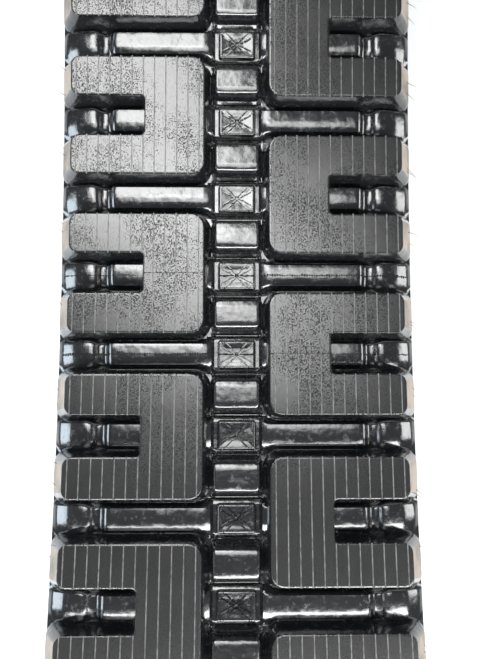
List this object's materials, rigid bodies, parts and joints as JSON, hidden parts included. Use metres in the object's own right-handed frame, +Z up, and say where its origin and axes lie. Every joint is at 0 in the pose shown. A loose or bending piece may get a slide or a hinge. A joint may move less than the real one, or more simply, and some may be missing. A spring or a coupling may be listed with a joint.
{
  "type": "endless rubber track",
  "caption": "Endless rubber crawler track with staggered C-shaped block lugs, metal cores with guide horns, steel cord belts and a flexing loop.",
  "frame": {"origin": "on the ground below the middle of the loop, at mid-width", "axes": "+X along the track's loop, +Y across the track, +Z up from the ground"},
  "size_m": [2.1872, 0.45, 0.6747],
  "materials": {
    "rubber_body": "satin",
    "rubber_tread": "satin",
    "rubber_centre": "gloss",
    "forged_core": "matte",
    "steel_cord": "satin"
  },
  "bodies": {
    "section_01": {"carcass_01": "rubber_body", "tread_lugs_01": "rubber_tread", "centre_pads_01": "rubber_centre", "metal_cores_01": "forged_core", "cord_belts_01": "steel_cord"},
    "section_02": {"carcass_02": "rubber_body", "tread_lugs_02": "rubber_tread", "centre_pads_02": "rubber_centre", "metal_cores_02": "forged_core", "cord_belts_02": "steel_cord"},
    "section_03": {"carcass_03": "rubber_body", "tread_lugs_03": "rubber_tread", "centre_pads_03": "rubber_centre", "metal_cores_03": "forged_core", "cord_belts_03": "steel_cord"},
    "section_04": {"carcass_04": "rubber_body", "tread_lugs_04": "rubber_tread", "centre_pads_04": "rubber_centre", "metal_cores_04": "forged_core", "cord_belts_04": "steel_cord"},
    "section_05": {"carcass_05": "rubber_body", "tread_lugs_05": "rubber_tread", "centre_pads_05": "rubber_centre", "metal_cores_05": "forged_core", "cord_belts_05": "steel_cord"},
    "section_06": {"carcass_06": "rubber_body", "tread_lugs_06": "rubber_tread", "centre_pads_06": "rubber_centre", "metal_cores_06": "forged_core", "cord_belts_06": "steel_cord"},
    "section_07": {"carcass_07": "rubber_body", "tread_lugs_07": "rubber_tread", "centre_pads_07": "rubber_centre", "metal_cores_07": "forged_core", "cord_belts_07": "steel_cord"},
    "section_08": {"carcass_08": "rubber_body", "tread_lugs_08": "rubber_tread", "centre_pads_08": "rubber_centre", "metal_cores_08": "forged_core", "cord_belts_08": "steel_cord"},
    "section_09": {"carcass_09": "rubber_body", "tread_lugs_09": "rubber_tread", "centre_pads_09": "rubber_centre", "metal_cores_09": "forged_core", "cord_belts_09": "steel_cord"},
    "section_10": {"carcass_10": "rubber_body", "tread_lugs_10": "rubber_tread", "centre_pads_10": "rubber_centre", "metal_cores_10": "forged_core", "cord_belts_10": "steel_cord"},
    "section_11": {"carcass_11": "rubber_body", "tread_lugs_11": "rubber_tread", "centre_pads_11": "rubber_centre", "metal_cores_11": "forged_core", "cord_belts_11": "steel_cord"},
    "section_12": {"carcass_12": "rubber_body", "tread_lugs_12": "rubber_tread", "centre_pads_12": "rubber_centre", "metal_cores_12": "forged_core", "cord_belts_12": "steel_cord"}
  },
  "joints": [
    {"name": "flex_01", "type": "hinge", "parent": "section_12", "child": "section_01", "pos_m": [0, 0, 0.58353], "axis": [0, 1, 0], "range_deg": [-5, 3.6], "stiffness_Nm_per_rad": 7000, "springref_deg": -0.58},
    {"name": "flex_02", "type": "hinge", "parent": "section_11", "child": "section_12", "pos_m": [-0.39928, 0, 0.60445], "axis": [0, 1, 0], "range_deg": [-1.79, 2.46], "stiffness_Nm_per_rad": 7000, "springref_deg": 0.28},
    {"name": "flex_03", "type": "hinge", "parent": "section_10", "child": "section_11", "pos_m": [-0.79747, 0, 0.61768], "axis": [0, 1, 0], "range_deg": [-2.12, 2.92], "stiffness_Nm_per_rad": 7000, "springref_deg": 0.33},
    {"name": "flex_04", "type": "hinge", "parent": "section_09", "child": "section_10", "pos_m": [-1.04908, 0, 0.34649], "axis": [0, 1, 0], "range_deg": [-5.73, 4.14], "stiffness_Nm_per_rad": 7000, "springref_deg": -0.66},
    {"name": "flex_05", "type": "hinge", "parent": "section_08", "child": "section_09", "pos_m": [-0.79826, 0, 0.07073], "axis": [0, 1, 0], "range_deg": [-1.59, 2.19], "stiffness_Nm_per_rad": 7000, "springref_deg": 0.25},
    {"name": "flex_06", "type": "hinge", "parent": "section_07", "child": "section_08", "pos_m": [-0.4, 0, 0.046], "axis": [0, 1, 0], "range_deg": [-0.55, 0.76], "stiffness_Nm_per_rad": 7000, "springref_deg": 0.09},
    {"name": "flex_07", "type": "hinge", "parent": "section_01", "child": "section_02", "pos_m": [0.39928, 0, 0.60445], "axis": [0, 1, 0], "range_deg": [-1.79, 2.46], "stiffness_Nm_per_rad": 7000, "springref_deg": 0.28},
    {"name": "flex_08", "type": "hinge", "parent": "section_02", "child": "section_03", "pos_m": [0.79747, 0, 0.61768], "axis": [0, 1, 0], "range_deg": [-2.12, 2.92], "stiffness_Nm_per_rad": 7000, "springref_deg": 0.33},
    {"name": "flex_09", "type": "hinge", "parent": "section_03", "child": "section_04", "pos_m": [1.04908, 0, 0.34649], "axis": [0, 1, 0], "range_deg": [-5.73, 4.14], "stiffness_Nm_per_rad": 7000, "springref_deg": -0.66},
    {"name": "flex_10", "type": "hinge", "parent": "section_04", "child": "section_05", "pos_m": [0.79826, 0, 0.07073], "axis": [0, 1, 0], "range_deg": [-1.59, 2.19], "stiffness_Nm_per_rad": 7000, "springref_deg": 0.25},
    {"name": "flex_11", "type": "hinge", "parent": "section_05", "child": "section_06", "pos_m": [0.4, 0, 0.046], "axis": [0, 1, 0], "range_deg": [-0.55, 0.76], "stiffness_Nm_per_rad": 7000, "springref_deg": 0.09}
  ],
  "couplings": [
    {"joint": "flex_02", "follows": "flex_01", "ratio": -0.48282},
    {"joint": "flex_03", "follows": "flex_01", "ratio": -0.57401},
    {"joint": "flex_04", "follows": "flex_01", "ratio": 1.1355},
    {"joint": "flex_05", "follows": "flex_01", "ratio": -0.42863},
    {"joint": "flex_06", "follows": "flex_01", "ratio": -0.15},
    {"joint": "flex_07", "follows": "flex_01", "ratio": -0.48282},
    {"joint": "flex_08", "follows": "flex_01", "ratio": -0.57401},
    {"joint": "flex_09", "follows": "flex_01", "ratio": 1.1355},
    {"joint": "flex_10", "follows": "flex_01", "ratio": -0.42863},
    {"joint": "flex_11", "follows": "flex_01", "ratio": -0.15}
  ]
}
